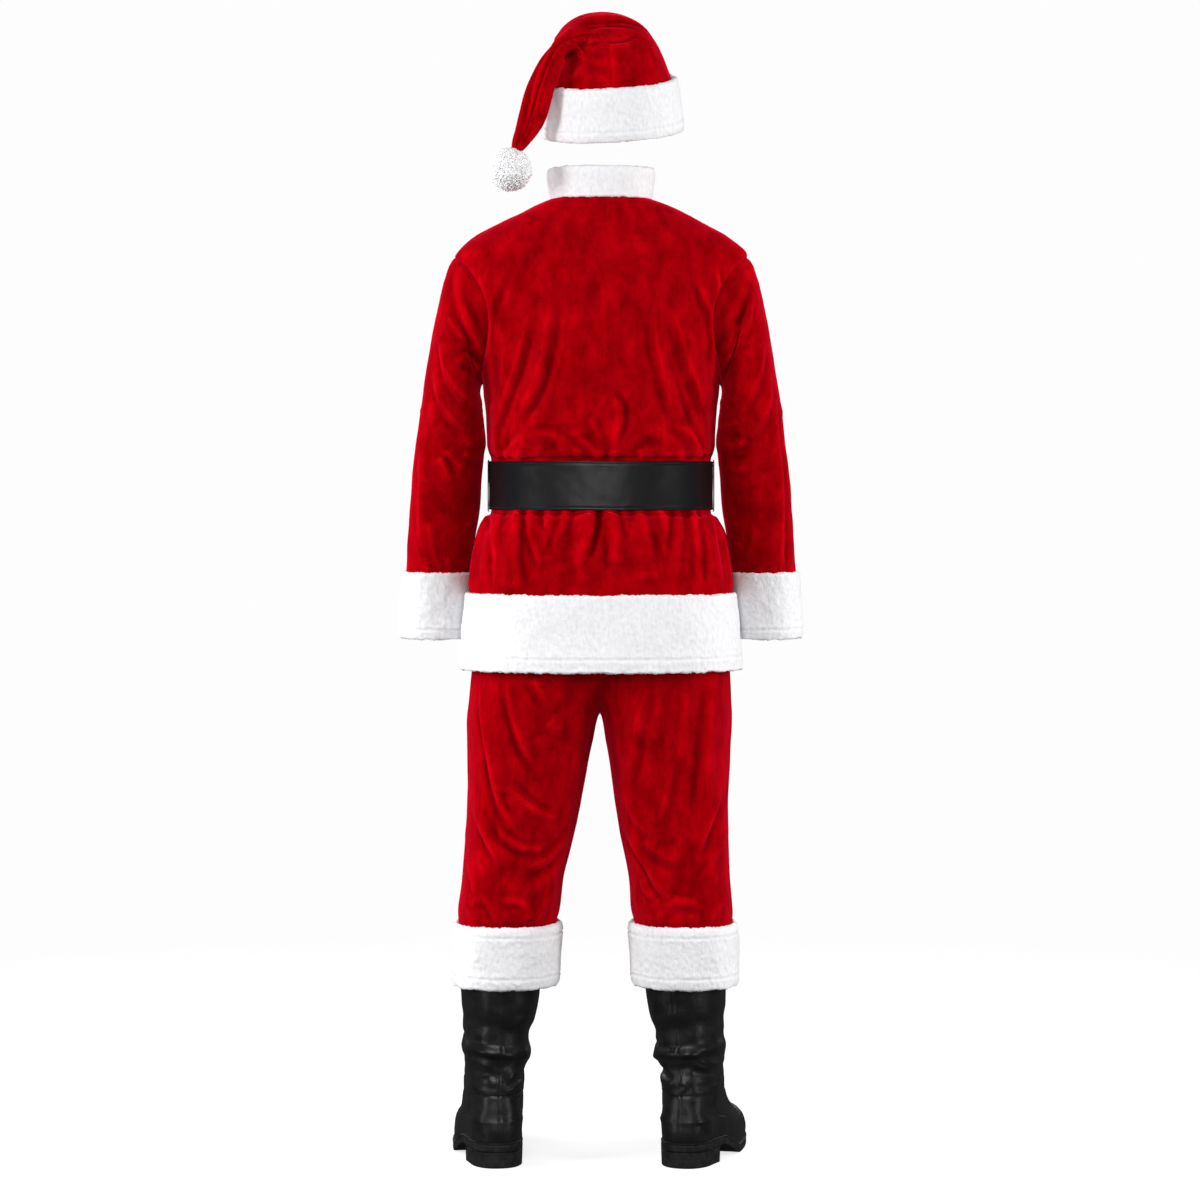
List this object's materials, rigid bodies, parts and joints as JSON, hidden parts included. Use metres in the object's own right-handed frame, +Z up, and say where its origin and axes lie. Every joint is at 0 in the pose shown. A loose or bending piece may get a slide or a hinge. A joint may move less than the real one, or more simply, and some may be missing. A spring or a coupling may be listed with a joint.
{
  "type": "santa suit",
  "caption": "Red plush costume with white fur trim in its worn, hollow form: belted jacket, trousers, drooping hat with a pompom, and boots.",
  "frame": {"origin": "middle of the jacket's neck opening, where the wearer's shoulders and neck hold the suit", "axes": "+Z up, -Y the way the wearer faces, +X the wearer's left"},
  "size_m": [0.6644, 0.379, 1.8697],
  "materials": {
    "red_velour": "short-pile velour, soft sheen",
    "white_plush": "short white fur, matte",
    "black_vinyl": "glossy black vinyl",
    "gold_metal": "plain polished",
    "black_leather": "soft satin leather",
    "black_rubber": "matte"
  },
  "bodies": {
    "root": {"jacket_back": "red_velour", "jacket_front_left": "red_velour", "jacket_front_right": "red_velour", "sleeve_left": "red_velour", "sleeve_right": "red_velour", "waistband": "red_velour", "trousers_back_left": "red_velour", "trousers_back_right": "red_velour", "trousers_front_left": "red_velour", "trousers_front_right": "red_velour", "hat_crown_left": "red_velour", "hat_crown_right": "red_velour", "front_band": "white_plush", "hem_band": "white_plush", "collar": "white_plush", "sleeve_cuff_left": "white_plush", "sleeve_cuff_right": "white_plush", "leg_cuff_left": "white_plush", "leg_cuff_right": "white_plush", "hat_band": "white_plush", "pompom": "white_plush", "belt_strap": "black_vinyl", "belt_loop_left": "black_vinyl", "belt_loop_right": "black_vinyl", "belt_buckle": "gold_metal", "buckle_prong": "gold_metal", "boot_shaft_left": "black_leather", "boot_shaft_right": "black_leather", "boot_foot_left": "black_leather", "boot_foot_right": "black_leather", "boot_sole_left": "black_rubber", "boot_sole_right": "black_rubber", "boot_heel_left": "black_rubber", "boot_heel_right": "black_rubber"}
  },
  "joints": []
}
